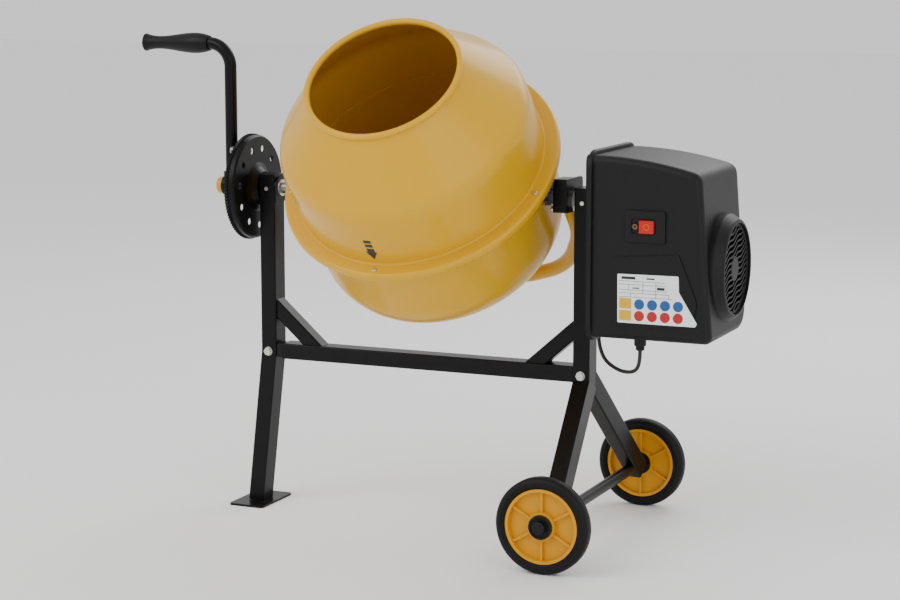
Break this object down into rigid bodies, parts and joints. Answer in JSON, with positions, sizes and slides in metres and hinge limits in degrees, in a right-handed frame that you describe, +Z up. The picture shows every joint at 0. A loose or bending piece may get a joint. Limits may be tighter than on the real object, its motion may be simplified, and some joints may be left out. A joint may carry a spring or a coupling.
{
  "type": "concrete mixer",
  "caption": "Portable electric concrete mixer: tilting drum on a tube stand with wheels, ring gear, motor housing and bent tilt lever.",
  "frame": {"origin": "on the floor under the middle of the whole object's box", "axes": "+X from the tilt lever towards the motor housing, -Y the side that the drum's mouth leans to, +Z up"},
  "size_m": [1.123, 0.5718, 0.8855],
  "materials": {
    "black_paint": "satin black powder coat",
    "yellow_paint": "gloss yellow enamel",
    "cast_iron": "as cast, greased",
    "bright_steel": "turned and drawn steel",
    "zinc": "zinc plated",
    "motor_alloy": "die cast",
    "black_plastic": "fine moulded texture",
    "rubber_grip": "smooth matt rubber",
    "yellow_plastic": "moulded",
    "label": "printed film",
    "red_plastic": "moulded",
    "button_plastic": "moulded",
    "tyre": "solid rubber",
    "rim_plastic": "moulded yellow-orange",
    "cord_sheath": "matt black sheath"
  },
  "bodies": {
    "frame": {"left_post": "black_paint", "right_post": "black_paint", "rear_leg": "black_paint", "foot_plate": "black_paint", "crossbar": "black_paint", "crossbar_spigot": "black_plastic", "left_brace": "black_paint", "right_brace": "black_paint", "frame_bolts": "zinc", "axle_tube": "black_paint", "wheel_axle": "bright_steel", "axle_caps": "black_plastic", "bearing_plate": "black_paint", "trunnion_washers": "zinc", "tilt_disc": "black_paint", "trunnion_tube": "bright_steel", "housing_shell": "black_plastic", "housing_back": "black_paint", "fan_grille": "black_plastic", "switch_plate": "black_plastic", "rating_plate": "label", "motor_body": "motor_alloy", "motor_mount": "bright_steel", "drive_belt": "rubber_grip", "cable_gland": "black_plastic", "power_cord": "cord_sheath", "cord_coil": "cord_sheath", "power_plug": "cord_sheath"},
    "yoke": {"yoke": "yellow_paint", "drum_spindle": "bright_steel", "gear_case": "black_paint", "gear_case_cover": "black_paint", "gear_case_bolts": "zinc", "left_trunnion": "bright_steel", "lever_hub": "black_paint", "tilt_lever": "black_paint", "lever_grip": "rubber_grip", "lever_cap": "yellow_plastic"},
    "lock": {"lock_pin": "bright_steel"},
    "drum": {"drum_upper": "yellow_paint", "drum_lower": "yellow_paint", "ring_gear": "cast_iron", "drum_hub": "cast_iron", "mixing_paddles": "yellow_paint", "drum_screws": "zinc"},
    "pinion": {"pinion": "cast_iron", "pinion_shaft": "bright_steel"},
    "drive": {"drive_shaft": "bright_steel", "drive_pulley": "motor_alloy"},
    "rotor": {"motor_rotor": "bright_steel", "cooling_fan": "black_plastic", "motor_pulley": "motor_alloy"},
    "front_wheel": {"front_tyre": "tyre", "front_rim": "rim_plastic", "front_bush": "black_plastic"},
    "rear_wheel": {"rear_tyre": "tyre", "rear_rim": "rim_plastic", "rear_bush": "black_plastic"},
    "start_button": {"start_button": "button_plastic"},
    "stop_button": {"stop_button": "red_plastic"}
  },
  "joints": [
    {"name": "drum_tilt", "type": "hinge", "parent": "frame", "child": "yoke", "pos_m": [0.0105, 0.0129, 0.579], "axis": [1, 0, 0], "range_deg": [-43, 65.45]},
    {"name": "drum_spin", "type": "hinge", "parent": "yoke", "child": "drum", "pos_m": [0.0105, 0.0129, 0.579], "axis": [0, -0.682, 0.7314], "continuous": true},
    {"name": "pinion_spin", "type": "hinge", "parent": "yoke", "child": "pinion", "pos_m": [0.235, -0.00415, 0.59728], "axis": [1, 0, 0], "continuous": true},
    {"name": "drive_spin", "type": "hinge", "parent": "yoke", "child": "drive", "pos_m": [0.3, 0.0129, 0.579], "axis": [1, 0, 0], "continuous": true},
    {"name": "rotor_spin", "type": "hinge", "parent": "frame", "child": "rotor", "pos_m": [0.43, 0.0129, 0.48], "axis": [1, 0, 0], "continuous": true},
    {"name": "front_wheel_spin", "type": "hinge", "parent": "frame", "child": "front_wheel", "pos_m": [0.3175, -0.2351, 0.08], "axis": [0, 1, 0], "continuous": true},
    {"name": "rear_wheel_spin", "type": "hinge", "parent": "frame", "child": "rear_wheel", "pos_m": [0.3175, 0.2609, 0.08], "axis": [0, 1, 0], "continuous": true},
    {"name": "lock_slide", "type": "slide", "parent": "yoke", "child": "lock", "axis": [1, 0, 0], "range_m": [0, 0.005]},
    {"name": "start_press", "type": "slide", "parent": "frame", "child": "start_button", "axis": [0, 1, 0], "range_m": [0, 0.002], "stiffness_N_per_m": 300, "springref_m": -0.002},
    {"name": "stop_press", "type": "slide", "parent": "frame", "child": "stop_button", "axis": [0, 1, 0], "range_m": [0, 0.002], "stiffness_N_per_m": 300, "springref_m": -0.002}
  ],
  "couplings": [
    {"joint": "pinion_spin", "follows": "drum_spin", "ratio": -10},
    {"joint": "drive_spin", "follows": "drum_spin", "ratio": 12.727},
    {"joint": "rotor_spin", "follows": "drum_spin", "ratio": 105.73}
  ]
}
